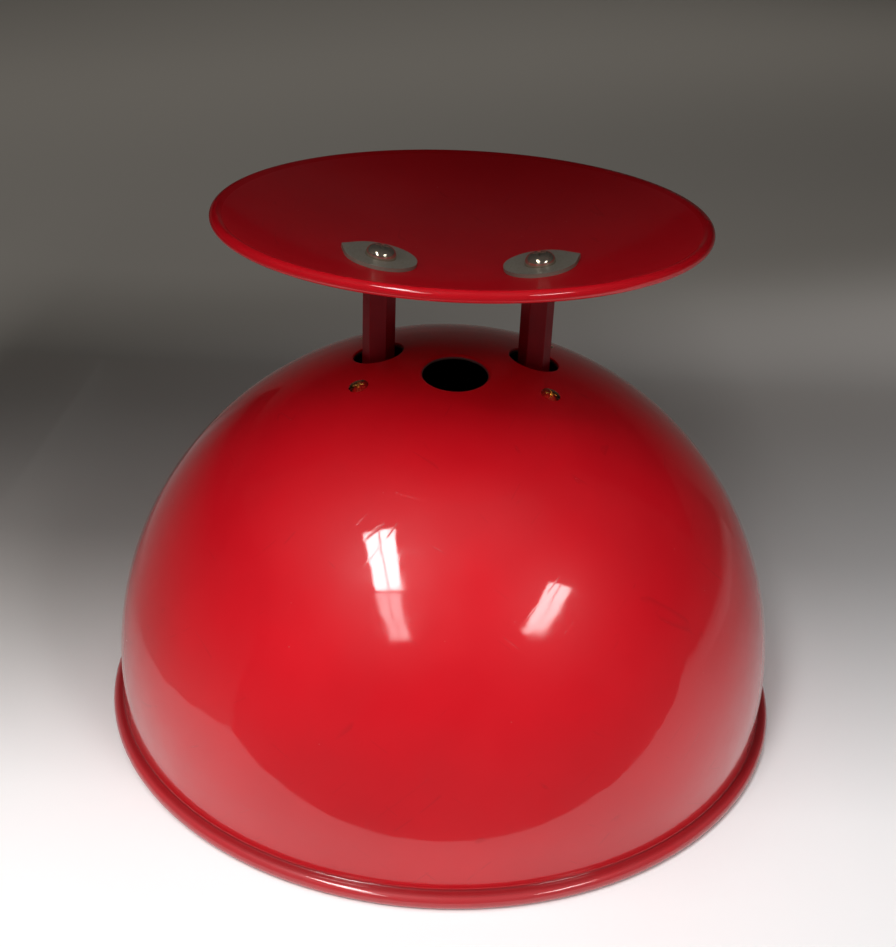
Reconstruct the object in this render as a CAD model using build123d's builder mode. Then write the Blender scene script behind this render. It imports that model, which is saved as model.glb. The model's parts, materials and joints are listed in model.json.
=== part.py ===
"""Push-plate fire alarm bell: a 10-inch gong on its rolled rim, struck from inside.

Pressing the dish drives a spring-returned plunger unit down, and its crosshead
turns a bell-crank hammer against the gong's wall.
Millimetres, +Z up, origin at the centre of the rim's resting face, front at -Y.
"""
from build123d import *
from math import asin, cos, degrees, radians, sin, sqrt
import os

os.makedirs("parts", exist_ok=True)

# ---------------------------------------------------------------- gong
gong_radius = 123.0  # outside of the wall
gong_sheet = 1.5
skirt_height = 17.4  # straight wall below the dome
crown_rise = 120.8  # dome above the skirt
rim_radius = 124.4  # centreline of the rolled rim
rim_roll = 2.7  # radius of the roll
rim_height = 2.5  # its centre, so that 0.2 is flattened underneath
rim_blend = 0.9

port_y = -18.2  # crown port, in front of the apex
port_radius = 11.2
port_round = 1.2  # its outer edge, rounded almost through the sheet

post_x = 27.3  # either side of the apex
post_hole_radius = 8.8
post_hole_round = 0.4
hole_reach = 12.0  # how far the holes' cutters reach below the crown

gong_screw_x = 32.4
gong_screw_y = 22.8
gong_screw_radius = 1.75  # M3.5
gong_screw_head = 3.45
gong_screw_raise = 0.6  # height of the domed top above the gong
gong_screw_length = 12.0
gong_screw_recess = (3.8, 0.9, 1.5)  # length, width and depth of its cross
recess_taper = 12.0  # degrees, of every cross recess
isolator_radius = 5.5
isolator_thickness = 1.5
isolator_top = gong_sheet + 0.14  # its rim meets the dome, whose middle curves away

# ---------------------------------------------------------------- push dish
dish_bottom = 166.5  # lowest point of the concave face
dish_sheet = 1.2
dish_rim_radius = 81.4  # centreline of the roll, turned down and outwards
dish_rim_height = 185.9
dish_rim_roll = 1.85
# radius of the concave face, which runs on smoothly over the top of the roll
dish_rise = dish_rim_height - dish_bottom
dish_sphere = (dish_rim_radius**2 + dish_rise**2 - dish_rim_roll**2) / (2 * (dish_rise + dish_rim_roll))
dish_centre = dish_bottom + dish_sphere

washer_radius = 12.6
washer_tip = 13.4  # reach of the pointed end's small circle
washer_tip_radius = 0.9
washer_turn = 15.0  # degrees that the pointed end is turned back
washer_thickness = 1.3
dish_screw_radius = 2.5  # M5
dish_screw_head = 5.35
dish_screw_head_height = 3.7
dish_screw_length = 11.3
dish_screw_round = 3.3  # radius that domes the head
dish_screw_recess = (4.6, 1.1, 1.8)
screw_clearance = 0.2  # radial, round a screw in a plain hole

# ---------------------------------------------------------------- plunger
stroke = 12.0
post_across_flats = 10.0
post_shoulder = 124.0  # the hexagon ends here, in a round shank
shank_radius = 4.0
thread_radius = 3.0  # M6
thread_bottom = 76.5
running_gap = 0.05  # radial, between shank and bush, or pin and lever
rest_gap = 0.3  # between parts of different bodies that meet at a stop

post_edge = 0.5  # rounding of the hexagon's corners
edge_break = 0.4  # small chamfer on machined edges

seat_radius = 8.5
seat_thickness = 1.5

crosshead_top = 89.0
crosshead_thickness = 5.0
crosshead_left = -43.5
crosshead_right = 37.0
crosshead_width = 16.0
crosshead_corner = 5.0
lock_washer_radius = 5.4
lock_washer_thickness = 1.4
lock_washer_gap = 0.8
nut_height = 5.0
nut_face_radius = 4.7  # flat left by the conical chamfer
nut_chamfer = 0.6

# ---------------------------------------------------------------- chassis
plate_top = 97.0
plate_thickness = 5.0
plate_bottom = plate_top - plate_thickness
plate_left = -69.0
plate_right = 41.0
spine_width = 26.0
wing_length = 60.0
wing_width = 46.0
plate_corner = 5.0
plate_chamfer = 0.7
window_length = 26.0  # under the crown port
window_width = 30.0
rib_x = -52.0
rib_y = 10.5
rib_length = 28.0
rib_thickness = 3.0
rib_height = 6.0
rib_draft = 6.0  # degrees
leg_radius = 5.0

bush_radius = 6.0
bush_flange_radius = 9.0
bush_flange_thickness = 2.0
buffer_thickness = 2.7
buffer_bore = 4.6
bush_top = post_shoulder - seat_thickness - stroke - rest_gap - buffer_thickness

spring_radius = 7.5
spring_wire = 0.7
spring_coils = 6

bumper_x = 17.2
bumper_radius = 3.3
bumper_stem = 1.8
bumper_round = 0.6

# ---------------------------------------------------------------- hammer
pivot_x = -60.0
swing = 35.0  # degrees for the whole stroke
inner_arm = 20.0
nose_radius = 4.0
nose_angle = swing / 2  # the nose starts as far above the pivot as it ends below
outer_arm = 54.4
head_angle = 65.0  # how far the outer arm hangs below level at rest
head_radius = 9.0
head_width = 16.0
blade_thickness = 4.0
boss_radius = 6.0
boss_width = 4.8
inner_arm_half = 2.4  # half the inner arm's depth
outer_arm_root = 5.0  # half the outer arm's depth at the pivot
outer_arm_tip = 4.5
lever_round = 0.5
rivet_radius = 2.0
rivet_head_radius = 3.6
rivet_head_height = 1.4
rivet_head_round = 1.0
head_round = 3.0

cheek_gap = 5.0  # clear width inside the bracket
cheek_thickness = 2.5
cheek_radius = 7.0
web_thickness = 2.0
web_length = 26.0
web_width = 16.0
bracket_screw_y = 9.5
bracket_screw_radius = 2.0  # M4
bracket_screw_head = 3.4
bracket_screw_head_height = 2.2
bracket_screw_round = 1.2
slot_width = 0.9
slot_depth = 1.0

pin_radius = 2.5
pin_head_radius = 4.0
pin_head_height = 1.5
pin_head_round = 0.5
pin_tail = 3.0  # past the far cheek
clip_radius = 5.0
clip_thickness = 0.8
clip_gap = 0.2  # between the clip and the cheek
clip_mouth = 3.6
crosshead_bottom = crosshead_top - crosshead_thickness
pivot_z = crosshead_bottom - rest_gap - nose_radius - inner_arm * sin(radians(nose_angle))
nose_x = pivot_x + inner_arm * cos(radians(nose_angle))
nose_z = pivot_z + inner_arm * sin(radians(nose_angle))
head_x = pivot_x - outer_arm * cos(radians(head_angle))
head_z = pivot_z - outer_arm * sin(radians(head_angle))


def dome_plane(x, y):
    """The plane that touches the outside of the dome at x, y, facing outwards."""
    height = crown_rise * sqrt(1 - (x * x + y * y) / gong_radius**2)
    normal = Vector(x / gong_radius**2, y / gong_radius**2, height / crown_rise**2)
    return Plane(origin=(x, y, skirt_height + height), x_dir=(1, 0, 0), z_dir=normal)


def dish_plane(x):
    """The plane that touches the dish's concave face at x on the X axis, facing up."""
    height = sqrt(dish_sphere**2 - x * x)
    return Plane(origin=(x, 0, dish_centre - height), x_dir=(height, 0, x), z_dir=(-x, 0, height))


def cross_recess(plane, length, width, depth):
    """Cuts a cross recess, narrower at its bottom, into the open part."""
    with BuildSketch(plane) as recess:
        Rectangle(length, width)
        Rectangle(width, length)
    extrude(recess.sketch, amount=-depth, taper=recess_taper, mode=Mode.SUBTRACT)


def both_sides(part, axis):
    """The outer edges of the part's two end faces along the axis."""
    ends = part.faces().sort_by(axis)
    return ends[0].outer_wire().edges() + ends[-1].outer_wire().edges()


sides = (("left", -1), ("right", 1))
post_points = [(-post_x, 0), (post_x, 0)]
bumper_points = [(-bumper_x, 0), (bumper_x, 0)]
bracket_screw_points = [(pivot_x, -bracket_screw_y), (pivot_x, bracket_screw_y)]
screw_planes = [
    dome_plane(x, y)
    for x in (-gong_screw_x, gong_screw_x)
    for y in (-gong_screw_y, gong_screw_y)
]

# ---------------------------------------------------------------- gong
with BuildPart() as gong:
    with BuildSketch(Plane.YZ) as gong_profile:  # the seam is at the back, clear of the holes
        with BuildLine():
            outside = EllipticalCenterArc((0, skirt_height), gong_radius, crown_rise, arc_size=90)
            inside = EllipticalCenterArc(
                (0, skirt_height), gong_radius - gong_sheet, crown_rise - gong_sheet, arc_size=90
            )
            Line(outside @ 1, inside @ 1)
            Polyline(
                outside @ 0, (gong_radius, rim_height), (gong_radius - gong_sheet, rim_height), inside @ 0
            )
        make_face()
        with Locations((rim_radius, rim_height)):
            Circle(rim_roll)
        groove_height = rim_height + sqrt(rim_roll**2 - (rim_radius - gong_radius) ** 2)
        fillet(gong_profile.vertices().sort_by_distance((gong_radius, groove_height))[0], rim_blend)
        with Locations((rim_radius, 0)):
            Rectangle(4 * rim_roll, rim_roll, align=(Align.CENTER, Align.MAX), mode=Mode.SUBTRACT)
    revolve(axis=Axis.Z)

    # clearance holes for the posts, straight down
    crown = Plane.XY.offset(skirt_height + crown_rise)
    with BuildSketch(crown):
        with Locations(*post_points):
            Circle(post_hole_radius)
    extrude(amount=-hole_reach, mode=Mode.SUBTRACT)
    for x, y in post_points:
        fillet(gong.edges().sort_by_distance((x, y, crown.origin.Z))[0], post_hole_round)

    # crown port, square to the dome
    port = dome_plane(0, port_y)
    with BuildSketch(port.offset(gong_sheet)):
        Circle(port_radius)
    extrude(amount=-hole_reach, mode=Mode.SUBTRACT)
    fillet(gong.edges().sort_by_distance(port.origin)[0], port_round)

    with Locations(*screw_planes):
        CounterSinkHole(gong_screw_radius + screw_clearance, gong_screw_head + 0.05, depth=hole_reach / 2)
gong.part.label = "gong"
export_step(gong.part, "parts/gong.step")

# ---------------------------------------------------------------- gong screws
raised_head_sphere = (gong_screw_head**2 + gong_screw_raise**2) / (2 * gong_screw_raise)
with BuildPart() as gong_screw:
    with BuildSketch(Plane.XZ):
        with BuildLine():
            Polyline(
                (0, gong_screw_raise),
                (0, -gong_screw_length),
                (gong_screw_radius, -gong_screw_length),
                (gong_screw_radius, gong_screw_radius - gong_screw_head),
                (gong_screw_head, 0),
            )
            RadiusArc((gong_screw_head, 0), (0, gong_screw_raise), -raised_head_sphere)
        make_face()
    revolve(axis=Axis.Z)
    cross_recess(Plane.XY.offset(gong_screw_raise), *gong_screw_recess)
with BuildPart() as gong_screws:
    with Locations(*screw_planes):
        add(gong_screw.part)
gong_screws.part.label = "gong_screws"
export_step(gong_screws.part, "parts/gong_screws.step")

# ---------------------------------------------------------------- isolating washers
leg_planes = [plane.offset(-isolator_top - isolator_thickness) for plane in screw_planes]
with BuildPart() as isolating_washers:
    with Locations(*leg_planes):
        Cylinder(
            isolator_radius, isolator_thickness, align=(Align.CENTER, Align.CENTER, Align.MIN)
        )
        Hole(gong_screw_radius + screw_clearance, depth=isolator_thickness)
isolating_washers.part.label = "isolating_washers"
export_step(isolating_washers.part, "parts/isolating_washers.step")

# ---------------------------------------------------------------- chassis
with BuildPart() as chassis:
    with BuildSketch(Plane.XY.offset(plate_bottom)) as plate_outline:
        with Locations(((plate_left + plate_right) / 2, 0)):
            Rectangle(plate_right - plate_left, spine_width)
        Rectangle(wing_length, wing_width)
        fillet(plate_outline.vertices(), plate_corner)
    extrude(amount=plate_thickness)
    chamfer(both_sides(chassis, Axis.Z), plate_chamfer)
    with BuildSketch(Plane.XY.offset(plate_bottom)):
        RectangleRounded(window_length, window_width, plate_corner)
        with Locations(*post_points):
            Circle(bush_radius)
        with Locations(*bumper_points):
            Circle(bumper_stem)
        with Locations(*bracket_screw_points):
            Circle(bracket_screw_radius)
    extrude(amount=plate_thickness, mode=Mode.SUBTRACT)

    # two ribs stiffen the arm that carries the hammer
    with BuildSketch(Plane.XY.offset(plate_top)):
        with Locations((rib_x, -rib_y), (rib_x, rib_y)):
            Rectangle(rib_length, rib_thickness)
    extrude(amount=rib_height, taper=rib_draft)

    # one leg to each gong screw, square to the dome
    for leg_top in leg_planes:
        leg_length = (leg_top.origin.Z - plate_bottom - plate_thickness / 2) / leg_top.z_dir.Z
        with BuildSketch(leg_top):
            Circle(leg_radius)
        extrude(amount=-leg_length)
    with Locations(*leg_planes):
        Hole(gong_screw_radius, depth=gong_screw_length)
chassis.part.label = "chassis"
export_step(chassis.part, "parts/chassis.step")

# ---------------------------------------------------------------- guide bushes, buffers, springs
for side, sign in sides:
    axis_point = (sign * post_x, 0)
    with BuildPart() as guide_bush:
        with BuildSketch(Plane.XY.offset(plate_bottom)):
            with Locations(axis_point):
                Circle(bush_radius)
        extrude(amount=bush_top - plate_bottom)
        with BuildSketch(Plane.XY.offset(plate_top)):
            with Locations(axis_point):
                Circle(bush_flange_radius)
        extrude(amount=bush_flange_thickness)
        flange_edge = guide_bush.edges().filter_by(GeomType.CIRCLE).sort_by(SortBy.RADIUS)[-2:]
        chamfer(flange_edge.sort_by(Axis.Z)[-1], edge_break)
        with BuildSketch(Plane.XY.offset(plate_bottom)):
            with Locations(axis_point):
                Circle(shank_radius + running_gap)
        extrude(amount=bush_top - plate_bottom, mode=Mode.SUBTRACT)
    guide_bush.part.label = f"guide_bush_{side}"
    export_step(guide_bush.part, f"parts/guide_bush_{side}.step")

    with BuildPart() as stop_buffer:
        with BuildSketch(Plane.XY.offset(bush_top)):
            with Locations(axis_point):
                Circle(bush_radius)
                Circle(buffer_bore, mode=Mode.SUBTRACT)
        extrude(amount=buffer_thickness)
    stop_buffer.part.label = f"stop_buffer_{side}"
    export_step(stop_buffer.part, f"parts/stop_buffer_{side}.step")

    spring_bottom = plate_top + bush_flange_thickness + spring_wire
    spring_rise = post_shoulder - seat_thickness - spring_wire - spring_bottom
    with BuildPart() as return_spring:
        with BuildLine() as coil:
            Helix(
                spring_rise / spring_coils,
                spring_rise,
                spring_radius,
                center=(sign * post_x, 0, spring_bottom),
            )
        with BuildSketch(Plane(origin=coil.line @ 0, z_dir=coil.line % 0)):
            Circle(spring_wire)
        sweep(path=coil.line, is_frenet=True)
    return_spring.part.label = f"return_spring_{side}"
    export_step(return_spring.part, f"parts/return_spring_{side}.step")

# ---------------------------------------------------------------- rest bumpers
with BuildPart() as rest_bumpers:
    with BuildSketch(Plane.XY.offset(crosshead_top + rest_gap)):
        with Locations(*bumper_points):
            Circle(bumper_radius)
    extrude(amount=plate_bottom - crosshead_top - rest_gap)
    fillet(rest_bumpers.edges().group_by(Axis.Z)[0], bumper_round)
    with BuildSketch(Plane.XY.offset(plate_bottom)):
        with Locations(*bumper_points):
            Circle(bumper_stem)
    extrude(amount=plate_thickness)
rest_bumpers.part.label = "rest_bumpers"
export_step(rest_bumpers.part, "parts/rest_bumpers.step")

# ---------------------------------------------------------------- pivot bracket
web_plane = Plane.XY.offset(plate_bottom - web_thickness)
pivot_point = (pivot_x, pivot_z)
head_point = (head_x, head_z)
cheek_offset = (cheek_gap + cheek_thickness) / 2
cheek_face = cheek_gap / 2 + cheek_thickness
with BuildPart() as pivot_bracket:
    with BuildSketch(web_plane):
        with Locations((pivot_x, 0)):
            RectangleRounded(web_width, web_length, plate_corner / 2)
        with Locations(*bracket_screw_points):
            Circle(bracket_screw_radius, mode=Mode.SUBTRACT)
    extrude(amount=web_thickness)
    for offset in (-cheek_offset, cheek_offset):
        with BuildSketch(Plane.XZ.offset(offset)):
            with Locations(pivot_point):
                Circle(cheek_radius)
            with Locations((pivot_x, plate_bottom - web_thickness)):
                Rectangle(2 * cheek_radius, 1, align=(Align.CENTER, Align.MAX))
            make_hull()
        extrude(amount=cheek_thickness / 2, both=True)
    with BuildSketch(Plane.XZ):
        with Locations(pivot_point):
            Circle(pin_radius)
    extrude(amount=2 * cheek_face, both=True, mode=Mode.SUBTRACT)
pivot_bracket.part.label = "pivot_bracket"
export_step(pivot_bracket.part, "parts/pivot_bracket.step")

with BuildPart() as bracket_screws:
    with BuildSketch(web_plane):
        with Locations(*bracket_screw_points):
            Circle(bracket_screw_head)
    extrude(amount=-bracket_screw_head_height)
    fillet(bracket_screws.edges().group_by(Axis.Z)[0], bracket_screw_round)
    with BuildSketch(web_plane):
        with Locations(*bracket_screw_points):
            Circle(bracket_screw_radius)
    extrude(amount=web_thickness + plate_thickness)
    with BuildSketch(web_plane.offset(-bracket_screw_head_height)):
        with Locations(*bracket_screw_points):
            Rectangle(2 * bracket_screw_head, slot_width)
    extrude(amount=slot_depth, mode=Mode.SUBTRACT)
bracket_screws.part.label = "bracket_screws"
export_step(bracket_screws.part, "parts/bracket_screws.step")

# ---------------------------------------------------------------- pivot pin and its clip
with BuildPart() as pivot_pin:
    with BuildSketch(Plane.XZ.offset(cheek_face)):
        with Locations(pivot_point):
            Circle(pin_head_radius)
    extrude(amount=pin_head_height)
    fillet(pivot_pin.edges().group_by(Axis.Y)[0], pin_head_round)
    with BuildSketch(Plane.XZ.offset(cheek_face)):
        with Locations(pivot_point):
            Circle(pin_radius)
    extrude(amount=-2 * cheek_face - pin_tail)
    chamfer(pivot_pin.edges().group_by(Axis.Y)[-1], edge_break)
pivot_pin.part.label = "pivot_pin"
export_step(pivot_pin.part, "parts/pivot_pin.step")

with BuildPart() as pivot_clip:
    with BuildSketch(Plane.XZ.offset(-cheek_face - clip_gap)):
        with Locations(pivot_point):
            Circle(clip_radius)
            Circle(pin_radius, mode=Mode.SUBTRACT)
            Rectangle(
                clip_mouth, clip_radius + 1, align=(Align.CENTER, Align.MAX), mode=Mode.SUBTRACT
            )
    extrude(amount=-clip_thickness)
pivot_clip.part.label = "pivot_clip"
export_step(pivot_clip.part, "parts/pivot_clip.step")

# ---------------------------------------------------------------- hammer
lever_arms = (
    ((nose_x, nose_z), inner_arm_half, inner_arm_half),
    (head_point, outer_arm_root, outer_arm_tip),
)
with BuildPart() as hammer_lever:
    for end, root, tip in lever_arms:
        with BuildSketch(Plane.XZ):
            with Locations(pivot_point):
                Circle(root)
            with Locations(end):
                Circle(tip)
            make_hull()
        extrude(amount=blade_thickness / 2, both=True)
    with BuildSketch(Plane.XZ):
        with Locations((nose_x, nose_z)):
            Circle(nose_radius)
    extrude(amount=blade_thickness / 2, both=True)
    fillet(both_sides(hammer_lever, Axis.Y), lever_round)
    with BuildSketch(Plane.XZ):
        with Locations(pivot_point):
            Circle(boss_radius)
    extrude(amount=boss_width / 2, both=True)
    with BuildSketch(Plane.XZ):
        with Locations(pivot_point):
            Circle(pin_radius + running_gap)
        with Locations(head_point):
            Circle(rivet_radius)
    extrude(amount=boss_width, both=True, mode=Mode.SUBTRACT)
hammer_lever.part.label = "hammer_lever"
export_step(hammer_lever.part, "parts/hammer_lever.step")

with BuildPart() as hammer_rivet:
    with BuildSketch(Plane.XZ):
        with Locations(head_point):
            Circle(rivet_radius)
    extrude(amount=head_width / 2, both=True)
    for face in (1, -1):
        with BuildSketch(Plane.XZ.offset(face * head_width / 2)):
            with Locations(head_point):
                Circle(rivet_head_radius)
        extrude(amount=face * rivet_head_height)
    fillet(hammer_rivet.edges().group_by(Axis.Y)[0], rivet_head_round)
    fillet(hammer_rivet.edges().group_by(Axis.Y)[-1], rivet_head_round)
hammer_rivet.part.label = "hammer_rivet"
export_step(hammer_rivet.part, "parts/hammer_rivet.step")

with BuildPart() as hammer_head:
    with BuildSketch(Plane.XZ):
        with Locations(head_point):
            Circle(head_radius)
    extrude(amount=head_width / 2, both=True)
    fillet(hammer_head.edges(), head_round)
    add(hammer_lever.part, mode=Mode.SUBTRACT)
    add(hammer_rivet.part, mode=Mode.SUBTRACT)
hammer_head.part.label = "hammer_head"
export_step(hammer_head.part, "parts/hammer_head.step")

# ---------------------------------------------------------------- push dish
dish_sweep = degrees(asin(dish_rim_radius / (dish_sphere + dish_rim_roll)))
dish_ball = Location((0, 0, dish_centre), (0, 0, 90))  # its seam clear of the posts
dish_planes = [dish_plane(-post_x), dish_plane(post_x)]
with BuildPart() as push_dish:
    with BuildSketch(Plane.YZ):
        with BuildLine():
            face = CenterArc((0, dish_centre), dish_sphere, -90, dish_sweep)
            back = CenterArc((0, dish_centre), dish_sphere + dish_sheet, -90, dish_sweep)
            Line(face @ 0, back @ 0)
            Line(face @ 1, back @ 1)
        make_face()
        with Locations((dish_rim_radius, dish_rim_height)):
            Circle(dish_rim_roll)
    revolve(axis=Axis.Z)
    with Locations(*dish_planes):
        Hole(dish_screw_radius + screw_clearance, depth=3 * dish_sheet)
push_dish.part.label = "push_dish"
export_step(push_dish.part, "parts/push_dish.step")

# ---------------------------------------------------------------- dish washers, bent to the dish
dish_washers = []
for (side, sign), plane in zip(sides, dish_planes):
    with BuildPart() as dish_washer:
        with BuildSketch(plane.offset(-washer_thickness)):
            Circle(washer_radius)
            tip = (
                sign * washer_tip * cos(radians(washer_turn)),
                washer_tip * sin(radians(washer_turn)),
            )
            with Locations(tip):
                Circle(washer_tip_radius)
            make_hull()
            Circle(dish_screw_radius + screw_clearance, mode=Mode.SUBTRACT)
        extrude(amount=4 * washer_thickness)
        with Locations(dish_ball):
            Sphere(dish_sphere, mode=Mode.INTERSECT)
            Sphere(dish_sphere - washer_thickness, mode=Mode.SUBTRACT)
    dish_washer.part.label = f"dish_washer_{side}"
    export_step(dish_washer.part, f"parts/dish_washer_{side}.step")
    dish_washers.append(dish_washer.part)

# ---------------------------------------------------------------- dish screws
with BuildPart() as dish_screw:
    Cylinder(
        dish_screw_head, dish_screw_head_height, align=(Align.CENTER, Align.CENTER, Align.MIN)
    )
    fillet(dish_screw.edges().group_by(Axis.Z)[-1], dish_screw_round)
    Cylinder(dish_screw_radius, dish_screw_length, align=(Align.CENTER, Align.CENTER, Align.MAX))
    cross_recess(Plane.XY.offset(dish_screw_head_height), *dish_screw_recess)
with BuildPart() as dish_screws:
    with Locations(*[plane.offset(washer_thickness) for plane in dish_planes]):
        add(dish_screw.part)
    for washer in dish_washers:
        add(washer, mode=Mode.SUBTRACT)
dish_screws.part.label = "dish_screws"
export_step(dish_screws.part, "parts/dish_screws.step")

# ---------------------------------------------------------------- posts and spring seats
for side, sign in sides:
    axis_point = (sign * post_x, 0)
    with BuildPart() as post:
        with BuildSketch(Plane.XY.offset(post_shoulder)) as hexagon:
            with Locations(axis_point):
                RegularPolygon(post_across_flats / 2, 6, major_radius=False)
            fillet(hexagon.vertices(), post_edge)
        extrude(amount=dish_rim_height - post_shoulder)
        with BuildSketch(Plane.XY.offset(crosshead_top)):
            with Locations(axis_point):
                Circle(shank_radius)
        extrude(amount=post_shoulder - crosshead_top)
        with BuildSketch(Plane.XY.offset(thread_bottom)):
            with Locations(axis_point):
                Circle(thread_radius)
        extrude(amount=crosshead_top - thread_bottom)
        chamfer(post.edges().group_by(Axis.Z)[0], 2 * edge_break)
        with Locations(dish_ball):
            Sphere(dish_sphere + dish_sheet, mode=Mode.SUBTRACT)
        with Locations(dish_plane(sign * post_x)):
            Hole(dish_screw_radius, depth=dish_screw_length - washer_thickness)
    post.part.label = f"post_{side}"
    export_step(post.part, f"parts/post_{side}.step")

    with BuildPart() as spring_seat:
        with BuildSketch(Plane.XY.offset(post_shoulder - seat_thickness)):
            with Locations(axis_point):
                Circle(seat_radius)
                Circle(shank_radius + running_gap, mode=Mode.SUBTRACT)
        extrude(amount=seat_thickness)
        chamfer(both_sides(spring_seat, Axis.Z), edge_break)
    spring_seat.part.label = f"spring_seat_{side}"
    export_step(spring_seat.part, f"parts/spring_seat_{side}.step")

# ---------------------------------------------------------------- crosshead and its fasteners
with BuildPart() as crosshead:
    with BuildSketch(Plane.XY.offset(crosshead_bottom)):
        with Locations(((crosshead_left + crosshead_right) / 2, 0)):
            RectangleRounded(crosshead_right - crosshead_left, crosshead_width, crosshead_corner)
        with Locations(*post_points):
            Circle(thread_radius + screw_clearance, mode=Mode.SUBTRACT)
    extrude(amount=crosshead_thickness)
    chamfer(both_sides(crosshead, Axis.Z), edge_break)
crosshead.part.label = "crosshead"
export_step(crosshead.part, "parts/crosshead.step")

with BuildPart() as post_lock_washers:
    with BuildSketch(Plane.XY.offset(crosshead_bottom)):
        with Locations(*post_points):
            Circle(lock_washer_radius)
            Circle(thread_radius + screw_clearance / 2, mode=Mode.SUBTRACT)
        with Locations((-post_x, -lock_washer_radius), (post_x, -lock_washer_radius)):
            Rectangle(lock_washer_gap, lock_washer_radius, rotation=20, mode=Mode.SUBTRACT)
    extrude(amount=-lock_washer_thickness)
post_lock_washers.part.label = "post_lock_washers"
export_step(post_lock_washers.part, "parts/post_lock_washers.step")

nut_corner = post_across_flats / sqrt(3)
with BuildPart() as post_nut:
    with BuildSketch():
        RegularPolygon(post_across_flats / 2, 6, major_radius=False)
    extrude(amount=-nut_height)
    with BuildSketch(Plane.XZ):
        with BuildLine():
            Polyline(
                (0, 0),
                (nut_face_radius, 0),
                (nut_corner, -nut_chamfer),
                (nut_corner, nut_chamfer - nut_height),
                (nut_face_radius, -nut_height),
                (0, -nut_height),
                close=True,
            )
        make_face()
    revolve(axis=Axis.Z, mode=Mode.INTERSECT)
    Hole(thread_radius)
nut_plane = Plane.XY.offset(crosshead_bottom - lock_washer_thickness)
with BuildPart(nut_plane) as post_nuts:
    with Locations(*post_points):
        add(post_nut.part)
post_nuts.part.label = "post_nuts"
export_step(post_nuts.part, "parts/post_nuts.step")
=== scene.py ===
"""Looks of the push-plate fire alarm bell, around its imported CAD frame. Metres, +Z up, front at -Y."""
import json
import math
import bpy
import bmesh
from mathutils import Matrix, Vector

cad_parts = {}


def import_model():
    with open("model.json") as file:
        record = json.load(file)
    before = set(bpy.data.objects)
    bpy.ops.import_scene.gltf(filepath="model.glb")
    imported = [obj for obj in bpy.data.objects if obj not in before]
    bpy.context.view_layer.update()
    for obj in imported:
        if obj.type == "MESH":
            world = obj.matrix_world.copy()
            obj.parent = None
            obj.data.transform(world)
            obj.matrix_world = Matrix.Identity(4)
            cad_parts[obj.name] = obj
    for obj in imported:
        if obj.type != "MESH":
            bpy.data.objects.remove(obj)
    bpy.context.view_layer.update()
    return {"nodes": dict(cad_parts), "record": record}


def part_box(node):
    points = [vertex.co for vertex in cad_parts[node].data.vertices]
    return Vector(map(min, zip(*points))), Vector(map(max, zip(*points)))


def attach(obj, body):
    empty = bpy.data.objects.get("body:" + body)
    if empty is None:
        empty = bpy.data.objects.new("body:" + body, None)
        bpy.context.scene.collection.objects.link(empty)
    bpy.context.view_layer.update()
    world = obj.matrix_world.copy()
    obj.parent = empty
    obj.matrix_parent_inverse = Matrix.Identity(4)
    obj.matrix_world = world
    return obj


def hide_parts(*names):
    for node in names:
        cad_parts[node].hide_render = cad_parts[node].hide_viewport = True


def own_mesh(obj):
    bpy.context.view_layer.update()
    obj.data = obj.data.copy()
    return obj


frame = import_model()
nodes = frame["nodes"]
scene = bpy.context.scene
scene.view_settings.view_transform = "Standard"

# ---------------------------------------------------------------- sizes
gong_radius = 0.123  # outside of the wall
gong_sheet = 0.0015
gong_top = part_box("gong")[1][2]
skirt_height = 0.0174  # straight wall below the dome
bead_height = 0.0054  # top of the rolled rim
crease_width = 0.0007  # between the rolled rim and the wall: width of the painted shade line there
fine_relief = 0.00002  # depth of the finest surface marks
washer_bevel = 0.0005
dish_radius = 0.0802  # inside of the rolled rim
hollow_fade = 0.0012  # where the dish's dust ends, inside its rim
post_x = 0.0273
seat_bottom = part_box("spring_seat_left")[0][2]
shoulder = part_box("spring_seat_left")[1][2]  # underside of the posts' hexagons
flange_top = 0.099  # of the guide bushes
bell_middle = (0, 0, 0.08)

red = (0.60, 0.0046, 0.012)
# the dish's red is darker than the gong's, partly as painted shade
dish_shaded_red = (0.50, 0.004, 0.010)
# the posts' red is darker than the gong's as painted shade from the dish above
post_shaded_red = (0.22, 0.002, 0.007)
rim_red_shade_and_dust = (0.43, 0.030, 0.036)  # darker as painted shade, and dulled by dust and rubbing
primer = (0.16, 0.10, 0.09)
bare_steel = (0.45, 0.44, 0.43)
dust_pink = (0.55, 0.25, 0.22)
worn_grey = (0.09, 0.09, 0.085)
bloom_grey = (0.05, 0.048, 0.045)
black = (0.014, 0.014, 0.014)
floor_white = (0.97, 0.97, 0.97)
floor_shade_steps = (  # painted shade on the floor: each darker colour, and where it starts and ends towards the back
    (-0.15, 0.24, (0.56, 0.525, 0.495)),
    (0.18, 0.50, (0.265, 0.243, 0.215)),
    (0.50, 1.60, (0.47, 0.43, 0.375)),
)


# ---------------------------------------------------------------- node helpers
def material(name):
    """A new node material, its node tree and its shader."""
    made = bpy.data.materials.new(name)
    made.use_nodes = True
    tree = made.node_tree
    return made, tree, tree.nodes["Principled BSDF"]


def fill(tree, socket, value):
    """Links a socket's value, or sets it where it is a constant."""
    if isinstance(value, bpy.types.NodeSocket):
        tree.links.new(value, socket)
    elif isinstance(value, tuple) and socket.type == "RGBA":
        socket.default_value = (*value, 1.0)
    else:
        socket.default_value = value


def node(tree, kind, inputs=(), **settings):
    """A node with its settings made and its named inputs filled."""
    made = tree.nodes.new(kind)
    for name, value in settings.items():
        setattr(made, name, value)
    for name, value in dict(inputs).items():
        fill(tree, made.inputs[name], value)
    return made


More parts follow.
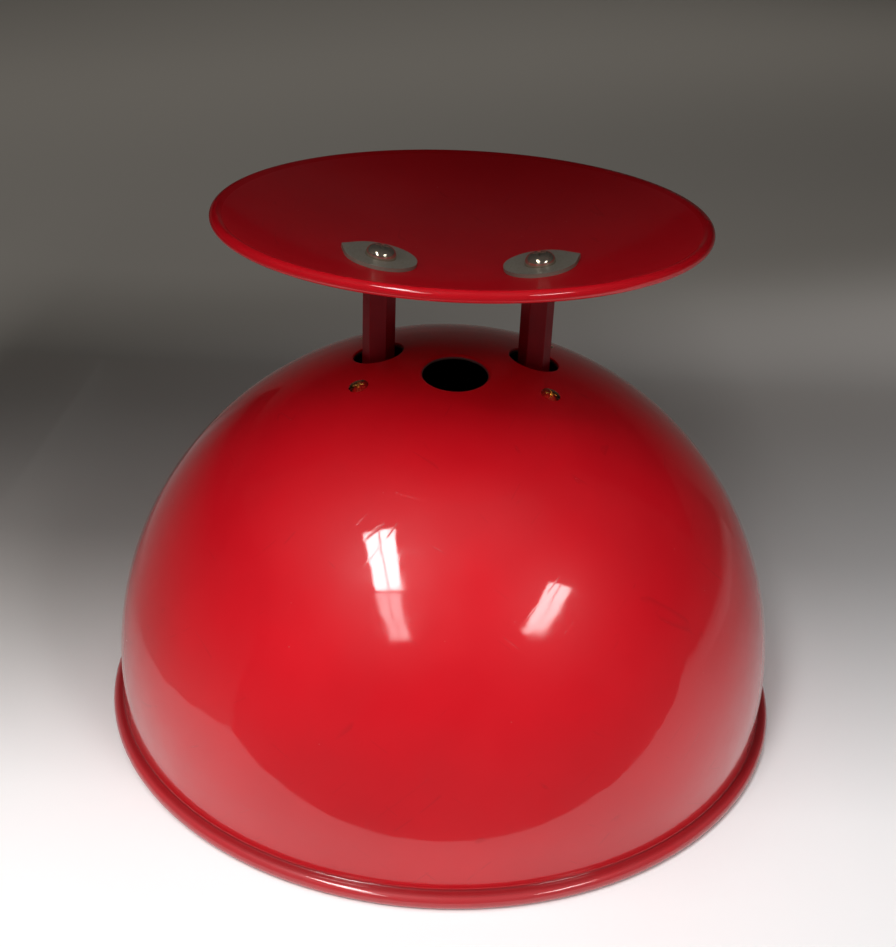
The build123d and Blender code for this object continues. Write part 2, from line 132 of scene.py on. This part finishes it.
def place(tree, turn=(0, 0, 0), stretch=(1, 1, 1)):
    """The piece's own coordinates, turned and then stretched."""
    own = node(tree, "ShaderNodeTexCoord").outputs["Object"]
    turned = node(tree, "ShaderNodeMapping", {"Vector": own, "Rotation": turn}).outputs["Vector"]
    return node(tree, "ShaderNodeMapping", {"Vector": turned, "Scale": stretch}).outputs["Vector"]


def noise(tree, scale, detail=4.0, roughness=0.55, where=None):
    """Noise with about scale cells a metre."""
    where = where or place(tree)
    inputs = {"Vector": where, "Scale": scale, "Detail": detail, "Roughness": roughness}
    return node(tree, "ShaderNodeTexNoise", inputs).outputs["Fac"]


def ramp(tree, value, low, high, start=0.0, end=1.0):
    """value mapped from low..high to start..end, and held outside."""
    inputs = {"Value": value, "From Min": low, "From Max": high, "To Min": start, "To Max": end}
    return node(tree, "ShaderNodeMapRange", inputs).outputs["Result"]


def maths(tree, operation, a, b=0.0):
    """a and b joined by a Math node's operation."""
    made = node(tree, "ShaderNodeMath", operation=operation)
    fill(tree, made.inputs[0], a)
    fill(tree, made.inputs[1], b)
    return made.outputs[0]


def times(tree, a, b):
    """a multiplied by b."""
    return maths(tree, "MULTIPLY", a, b)


def height_of(tree):
    """Height in the piece's own coordinates."""
    return node(tree, "ShaderNodeSeparateXYZ", {"Vector": place(tree)}).outputs["Z"]


def mix(tree, factor, a, b):
    """Colour a turned to b by factor."""
    made = node(tree, "ShaderNodeMix", data_type="RGBA")
    for socket, value in zip((made.inputs[0], made.inputs[6], made.inputs[7]), (factor, a, b)):
        fill(tree, socket, value)
    return made.outputs[2]


def shade(colour, factor):
    """colour made lighter or darker."""
    return tuple(factor * c for c in colour)


def bump(tree, shader, height, distance, strength=1.0, under=None):
    """A height field of a depth in metres on the shader's normal, over an earlier one."""
    inputs = {"Height": height, "Distance": distance, "Strength": strength}
    if under:
        inputs["Normal"] = under
    made = node(tree, "ShaderNodeBump", inputs).outputs["Normal"]
    tree.links.new(made, shader.inputs["Normal"])
    return made


def scratches(tree, turn, across, width, sparse):
    """Fine straight hairlines: level lines of a stretched noise, kept only in a few short patches."""
    lines = noise(tree, 1.0, 1.0, 0.4, place(tree, turn, (8, 8, across)))
    line = ramp(tree, maths(tree, "ABSOLUTE", maths(tree, "SUBTRACT", lines, 0.5)), 0, width, 1, 0)
    patch = ramp(tree, noise(tree, 60, 2, 0.5, place(tree, turn, (1, 1, 1.7))), sparse, sparse + 0.03)
    return times(tree, line, patch)


def specks(tree, scale, size, kept):
    """Round specks of a size in cells, in a kept share of the cells."""
    cells = node(tree, "ShaderNodeTexVoronoi", {"Vector": place(tree), "Scale": scale, "Randomness": 1.0})
    spot = ramp(tree, cells.outputs["Distance"], size * 0.6, size, 1, 0)
    pick = node(tree, "ShaderNodeSeparateColor", {"Color": cells.outputs["Color"]}).outputs["Red"]
    return times(tree, spot, maths(tree, "LESS_THAN", pick, kept))


def wear(tree):
    """Two crossing sets of hairline scratches."""
    first = scratches(tree, (0, 0.75, 0.3), across=130, width=0.010, sparse=0.60)
    second = scratches(tree, (0.2, -0.6, -0.4), across=100, width=0.008, sparse=0.62)
    return maths(tree, "MAXIMUM", first, second)


# ---------------------------------------------------------------- materials
def enamel(name, colour, rough, haze, inside=None, rim=None, dusty=None):
    """Glossy baked enamel: colour drift, orange peel, dust and hairline scratches.

    inside, rim and dusty add a primed inside, a darker rolled rim (partly painted shade, partly dust)
    with a painted shade line in its crease, and a dusty hollow.
    """
    made, tree, shader = material(name)
    drift = ramp(tree, noise(tree, 14, 3), 0.35, 0.65)
    tint = mix(tree, drift, shade(colour, 0.88), colour)
    dust = specks(tree, 190, size=0.05, kept=0.16)
    line = wear(tree)
    tint = mix(tree, times(tree, dust, 0.3), tint, dust_pink)
    tint = mix(tree, times(tree, line, 0.25), tint, shade(colour, 0.45))
    gloss = ramp(tree, noise(tree, 40, 6, 0.6), 0.35, 0.75, rough - 0.05, rough + 0.08)
    coat = ramp(tree, noise(tree, 65, 5, 0.62), 0.45, 0.8, 0.05, 0.16)
    coat = maths(tree, "ADD", coat, times(tree, line, 0.2))
    shader.inputs["Specular IOR Level"].default_value = haze
    shader.inputs["Coat Weight"].default_value = 1.0
    shader.inputs["Coat IOR"].default_value = 1.45
    if rim:
        # The rolled rim gets a darker, pinker red: partly painted shade, partly dust and rubbing.
        height = height_of(tree)
        on_bead = ramp(tree, height, bead_height - 0.0004, bead_height + 0.0006, 1, 0)
        patchy = ramp(tree, noise(tree, 70, 5), 0.25, 0.5, 0.7, 1)
        tint = mix(tree, times(tree, on_bead, patchy), tint, rim)
        # A painted shade line darkens the crease between the rolled rim and the wall.
        off_crease = maths(tree, "ABSOLUTE", maths(tree, "SUBTRACT", height, bead_height))
        tint = mix(tree, ramp(tree, off_crease, 0, crease_width, 0.75, 0), tint, shade(colour, 0.2))
    if inside:
        bare = inside(tree)
        grain = noise(tree, 300, 5, 0.6)
        tint = mix(tree, bare, tint, mix(tree, grain, shade(primer, 0.7), primer))
        gloss = maths(tree, "MAXIMUM", gloss, times(tree, bare, 0.7))
        coat = maths(tree, "MAXIMUM", coat, times(tree, bare, 0.8))
    if dusty:
        dull = dusty(tree)
        coat = maths(tree, "MAXIMUM", coat, times(tree, dull, 0.32))
        fill(tree, shader.inputs["Coat Weight"], ramp(tree, dull, 0, 1, 1, 0.3))
    fill(tree, shader.inputs["Base Color"], tint)
    fill(tree, shader.inputs["Roughness"], gloss)
    fill(tree, shader.inputs["Coat Roughness"], coat)
    peel = noise(tree, 380, 2, 0.5)
    under = bump(tree, shader, peel, fine_relief, 0.25)
    relief = maths(tree, "SUBTRACT", dust, line)
    worn = bump(tree, shader, relief, fine_relief, 0.4, under)
    fill(tree, shader.inputs["Coat Normal"], worn)
    return made


def gong_inside(tree):
    """1 on the inner face of the domed sheet, 0 outside."""
    middle = gong_sheet / 2
    split = node(tree, "ShaderNodeSeparateXYZ", {"Vector": place(tree)})
    across = maths(tree, "ADD", *[times(tree, split.outputs[k], split.outputs[k]) for k in "XY"])
    across = maths(tree, "DIVIDE", across, (gong_radius - middle) ** 2)
    above = maths(tree, "MAXIMUM", maths(tree, "SUBTRACT", split.outputs["Z"], skirt_height), 0.0)
    up = maths(tree, "DIVIDE", times(tree, above, above), (gong_top - skirt_height - middle) ** 2)
    return maths(tree, "LESS_THAN", maths(tree, "ADD", across, up), 1.0)


def dish_hollow(tree):
    """1 in the dish's hollow, fading to 0 on its rolled rim."""
    split = node(tree, "ShaderNodeSeparateXYZ", {"Vector": place(tree)})
    flat = node(tree, "ShaderNodeCombineXYZ", {"X": split.outputs["X"], "Y": split.outputs["Y"]})
    length = node(tree, "ShaderNodeVectorMath", {0: flat.outputs["Vector"]}, operation="LENGTH")
    return ramp(tree, length.outputs["Value"], dish_radius - hollow_fade, dish_radius, 1, 0)


def satin_paint(name, colour):
    """Satin paint on the posts' hexagons, drawn lines along them, and bare turned shanks."""
    made, tree, shader = material(name)
    drawn = noise(tree, 1.0, 3, 0.6, place(tree, (0, 0, 0), (900, 900, 25)))
    tint = mix(tree, ramp(tree, noise(tree, 90, 4), 0.35, 0.7), shade(colour, 0.8), colour)
    tint = mix(tree, ramp(tree, drawn, 0.55, 0.8, 0, 0.4), tint, shade(colour, 0.5))
    bare = maths(tree, "LESS_THAN", height_of(tree), shoulder)
    fill(tree, shader.inputs["Base Color"], mix(tree, bare, tint, bare_steel))
    fill(tree, shader.inputs["Metallic"], bare)
    fill(tree, shader.inputs["Roughness"], ramp(tree, noise(tree, 140, 5), 0.3, 0.7, 0.28, 0.45))
    shader.inputs["Specular IOR Level"].default_value = 0.12
    shader.inputs["Coat Weight"].default_value = 0.08
    shader.inputs["Coat Roughness"].default_value = 0.18
    peel = bump(tree, shader, noise(tree, 500, 3), 0.00003, 0.35)
    bump(tree, shader, drawn, fine_relief, 0.3, peel)
    return made


def plated(name, colour, rough, metal=1.0, grain=900, stretch=(1, 1, 1), stain=0.35, relief=0.4):
    """Plated or bare metal: fine uneven grain, stains and rub marks."""
    made, tree, shader = material(name)
    shader.inputs["Metallic"].default_value = metal
    cloud = ramp(tree, noise(tree, 180, 6, 0.6), 0.4, 0.75, 0, stain)
    tint = mix(tree, cloud, colour, shade(colour, 0.45))
    marks = scratches(tree, (0.3, 0.9, 0.2), across=600, width=0.02, sparse=0.5)
    tint = mix(tree, times(tree, marks, relief), tint, shade(colour, 1.35))
    fill(tree, shader.inputs["Base Color"], tint)
    fine = noise(tree, grain, 3, 0.6, place(tree, (0, 0, 0), stretch))
    fill(tree, shader.inputs["Roughness"], ramp(tree, fine, 0.3, 0.7, rough - 0.07, rough + 0.1))
    under = bump(tree, shader, fine, fine_relief, relief)
    bump(tree, shader, times(tree, marks, -1.0), fine_relief / 2, relief, under)
    return made


def casting(name, colour):
    """Black paint over a sand-cast skin."""
    made, tree, shader = material(name)
    skin = noise(tree, 650, 5, 0.65)
    worn = ramp(tree, noise(tree, 130, 5, 0.6), 0.62, 0.7)
    fill(tree, shader.inputs["Base Color"], mix(tree, times(tree, worn, 0.5), colour, worn_grey))
    fill(tree, shader.inputs["Roughness"], ramp(tree, skin, 0.3, 0.7, 0.45, 0.7))
    pits = specks(tree, 420, size=0.22, kept=0.2)
    bump(tree, shader, maths(tree, "SUBTRACT", skin, pits), 0.00012, 0.6)
    return made


def rubber(name, colour):
    """Matt rubber with a moulded skin and pale bloom."""
    made, tree, shader = material(name)
    bloom = ramp(tree, noise(tree, 160, 5, 0.65), 0.45, 0.8, 0, 0.5)
    fill(tree, shader.inputs["Base Color"], mix(tree, bloom, colour, bloom_grey))
    skin = noise(tree, 900, 3)
    fill(tree, shader.inputs["Roughness"], ramp(tree, skin, 0.3, 0.7, 0.68, 0.88))
    bump(tree, shader, skin, 0.00006, 0.5)
    return made


materials = {
    "red_enamel": enamel("red_enamel", red, 0.42, 0.22, gong_inside, rim_red_shade_and_dust),
    "red_dish_enamel": enamel("red_dish_enamel", dish_shaded_red, 0.5, 0.06, dusty=dish_hollow),
    "red_post_paint": satin_paint("red_post_paint", post_shaded_red),
    "brass_passivated_steel": plated(
        "brass_passivated_steel", (0.95, 0.72, 0.40), 0.24, grain=500, stain=0.15, relief=0.03
    ),
    "nickel_steel": plated(
        "nickel_steel", (0.66, 0.57, 0.45), 0.17, metal=0.85, grain=500, stain=0.3, relief=0.05
    ),
    "zinc_steel": plated("zinc_steel", (0.5, 0.5, 0.48), 0.48),
    "zinc_washer": plated(
        "zinc_washer", (0.30, 0.28, 0.225), 0.5, metal=0.3,
        grain=1400, stretch=(1, 0.25, 1), stain=0.2, relief=0.25,
    ),
    "bright_steel": plated(
        "bright_steel", (0.62, 0.62, 0.6), 0.26, grain=700, stretch=(1, 6, 1), stain=0.15, relief=0.08
    ),
    "spring_steel": plated("spring_steel", (0.4, 0.4, 0.41), 0.35),
    "black_steel": plated("black_steel", (0.06, 0.06, 0.062), 0.42),
    "bronze": plated("bronze", (0.52, 0.31, 0.13), 0.42),
    "black_casting": casting("black_casting", (0.014, 0.014, 0.015)),
    "black_rubber": rubber("black_rubber", black),
}
slots = {row["node"]: row["material_slot"] for row in frame["record"]["subparts"]}
own_looks = {
    "push_dish": "red_dish_enamel",
    "dish_washer_left": "zinc_washer",
    "dish_washer_right": "zinc_washer",
}
for name, piece in nodes.items():
    for slot in piece.material_slots:
        slot.material = materials[own_looks.get(name, slots[name])]

# ---------------------------------------------------------------- edges of the dish washers
for side in ("left", "right"):
    soft = nodes[f"dish_washer_{side}"].modifiers.new("soft_edge", "BEVEL")
    soft.width = washer_bevel
    soft.segments = 3
    soft.limit_method = "ANGLE"


# ---------------------------------------------------------------- springs
def spring(name, x):
    """A compression spring with closed, flattened end turns."""
    radius, wire = 0.0075, 0.0007
    turns, closed = 6.0, 0.8
    steps, sides = 300, 12
    low, high = flange_top + wire, seat_bottom - wire
    rise = high - low - 2 * closed * 2 * wire
    mesh = bmesh.new()
    rings = []
    for step in range(steps + 1):
        turn = turns * step / steps
        if turn < closed:
            height = low + 2 * wire * turn
        elif turn > turns - closed:
            height = high - 2 * wire * (turns - turn)
        else:
            height = low + 2 * wire * closed + rise * (turn - closed) / (turns - 2 * closed)
        angle = 2 * math.pi * turn
        out = Vector((math.cos(angle), math.sin(angle), 0))
        centre = Vector((x, 0, height)) + radius * out
        ring = []
        for side in range(sides):
            around = 2 * math.pi * side / sides
            off = math.cos(around) * out + math.sin(around) * Vector((0, 0, 1))
            ring.append(mesh.verts.new(centre + wire * off))
        rings.append(ring)
    for near, far in zip(rings, rings[1:]):
        for k in range(sides):
            mesh.faces.new((near[k], near[k - 1], far[k - 1], far[k]))
    mesh.faces.new(rings[0])
    mesh.faces.new(reversed(rings[-1]))
    bmesh.ops.recalc_face_normals(mesh, faces=mesh.faces)
    data = bpy.data.meshes.new(name)
    mesh.to_mesh(data)
    mesh.free()
    data.materials.append(materials["spring_steel"])
    data.shade_smooth()
    piece = bpy.data.objects.new(name, data)
    scene.collection.objects.link(piece)
    return piece


for side, sign in (("left", -1), ("right", 1)):
    coil = spring(f"coil_{side}", sign * post_x)
    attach(coil, "bell")
    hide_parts(f"return_spring_{side}")
    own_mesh(coil)

# ---------------------------------------------------------------- camera
camera_place = (0, -0.4193, 0.3058)
camera_turns = ((0.14, "Z"), (62.58, "X"), (2.53, "Z"))  # degrees: heading, tilt from straight down, roll

camera_data = bpy.data.cameras.new("camera")
camera_data.lens = 48.77
camera_data.sensor_width = 36
camera = bpy.data.objects.new("camera", camera_data)
scene.collection.objects.link(camera)
turn = Matrix.Identity(4)
for degrees, axis in camera_turns:
    turn = turn @ Matrix.Rotation(math.radians(degrees), 4, axis)
camera.matrix_world = Matrix.Translation(camera_place) @ turn
scene.camera = camera


# ---------------------------------------------------------------- floor and light
def sheet(name, made, centre, size, normal=(0, 0, 1)):
    """A flat staged rectangle, facing along its normal."""
    mesh = bmesh.new()
    half_x, half_y = size[0] / 2, size[1] / 2
    corners = [(-half_x, -half_y, 0), (half_x, -half_y, 0), (half_x, half_y, 0), (-half_x, half_y, 0)]
    mesh.faces.new([mesh.verts.new(c) for c in corners])
    data = bpy.data.meshes.new(name)
    mesh.to_mesh(data)
    mesh.free()
    data.materials.append(made)
    piece = bpy.data.objects.new(name, data)
    piece.location = centre
    piece.rotation_euler = Vector(normal).to_track_quat("Z", "Y").to_euler()
    scene.collection.objects.link(piece)
    return piece


def floor():
    """A pale floor with painted shade: brightest in front, darker behind and to the left."""
    made, tree, shader = material("floor")
    here = node(tree, "ShaderNodeNewGeometry").outputs["Position"]
    split = node(tree, "ShaderNodeSeparateXYZ", {"Vector": here})
    rightward = times(tree, split.outputs["X"], 0.45)
    back = maths(tree, "SUBTRACT", split.outputs["Y"], rightward)
    tint = floor_white
    # painted shade: darker colours further back and to the left
    for start, end, colour in floor_shade_steps:
        inputs = {"Value": back, "From Min": start, "From Max": end}
        step = node(tree, "ShaderNodeMapRange", inputs, interpolation_type="SMOOTHERSTEP")
        tint = mix(tree, step.outputs["Result"], tint, colour)
    fill(tree, shader.inputs["Base Color"], tint)
    shader.inputs["Roughness"].default_value = 0.6
    sheet("floor", made, (0, 0, 0), (8, 8))


def glow(name, colour, fade_height):
    """A glow that fades with height, for what only reflections see."""
    made = bpy.data.materials.new(name)
    made.use_nodes = True
    tree = made.node_tree
    tree.nodes.clear()
    here = node(tree, "ShaderNodeNewGeometry").outputs["Position"]
    height = node(tree, "ShaderNodeSeparateXYZ", {"Vector": here}).outputs["Z"]
    strength = ramp(tree, height, 0, fade_height, 1, 0)
    light = node(tree, "ShaderNodeEmission", {"Color": colour, "Strength": strength})
    end = node(tree, "ShaderNodeOutputMaterial")
    tree.links.new(light.outputs[0], end.inputs[0])
    return made


def reflected(name, colour, centre, size, normal, fade_height=0.18):
    """A staged sheet that only glossy reflections see."""
    piece = sheet(name, glow(name, colour, fade_height), centre, size, normal)
    piece.visible_camera = False
    piece.visible_diffuse = False
    piece.visible_shadow = False
    piece.visible_transmission = False


def shelf_above():
    """A dark board over the dish, out of the camera's sight, which shades it."""
    made, tree, shader = material("shelf_above")
    shader.inputs["Base Color"].default_value = (0.012, 0.011, 0.010, 1)
    shader.inputs["Roughness"].default_value = 1.0
    piece = sheet("shelf_above", made, (0, -0.024, 0.29), (0.7, 0.282))
    piece.visible_camera = False
    piece.visible_glossy = False


def area_light(name, location, size, radiance, target=None, glossy=True):
    """A rectangular light of an even radiance, facing straight down or at its target."""
    data = bpy.data.lights.new(name, "AREA")
    data.shape = "RECTANGLE"
    data.size, data.size_y = size
    data.energy = radiance * math.pi * size[0] * size[1]  # watts that give this radiance
    lamp = bpy.data.objects.new(name, data)
    lamp.location = location
    if target:
        lamp.rotation_euler = (Vector(location) - Vector(target)).to_track_quat("Z", "Y").to_euler()
    lamp.visible_glossy = glossy
    lamp.visible_camera = False
    scene.collection.objects.link(lamp)


def world():
    """A faint even light from all round."""
    made = bpy.data.worlds.new("world")
    made.use_nodes = True
    back = made.node_tree.nodes["Background"]
    back.inputs["Color"].default_value = (0.5, 0.48, 0.46, 1)
    back.inputs["Strength"].default_value = 0.05
    scene.world = made


def strips():
    """Ceiling lights in pairs of tubes: two in line at the left, one further off at the right."""
    ceiling = 1.2
    tube_share = 0.475  # of a pair's width
    for name, x, y, width, length, power in (
        ("left_near", -0.48, -0.72, 0.24, 0.56, 30),
        ("left_far", -0.51, -1.41, 0.23, 0.74, 9.5),
        ("right", 1.03, -1.14, 0.30, 0.72, 18),
    ):
        tube = tube_share * width
        for k, sign in enumerate((-1, 1)):
            area_light(f"{name}_{k}", (x + sign * (width - tube) / 2, y, ceiling), (tube, length), power)


floor()
shelf_above()
reflected("front_dark", (0.012, 0.010, 0.010), centre=(0, -2.157, 0.0005), size=(8, 4), normal=(0, 0, 1))
reflected(
    "wall_left", (0.24, 0.225, 0.215),
    centre=(-0.215, 0.07, 0.09), size=(0.46, 0.18), normal=(1, 0, 0), fade_height=0.14,
)
reflected(
    "wall_back", (0.13, 0.11, 0.10),
    centre=(0, 0.30, 0.13), size=(0.8, 0.26), normal=(0, -1, 0), fade_height=0.27,
)
reflected("dark_back", (0, 0, 0), centre=(0, 0.32, 0.71), size=(1.8, 0.9), normal=(0, -1, 0))
strips()
area_light("key", (-0.24, -0.98, 1.70), size=(1.2, 0.8), radiance=2.1, target=bell_middle, glossy=False)
area_light("under_shelf", (-0.09, -0.12, 0.285), size=(0.42, 0.08), radiance=2.6, glossy=False)
area_light("rear", (0.3, 2.2, 1.6), size=(1.6, 1.2), radiance=1.05, target=bell_middle, glossy=False)
world()
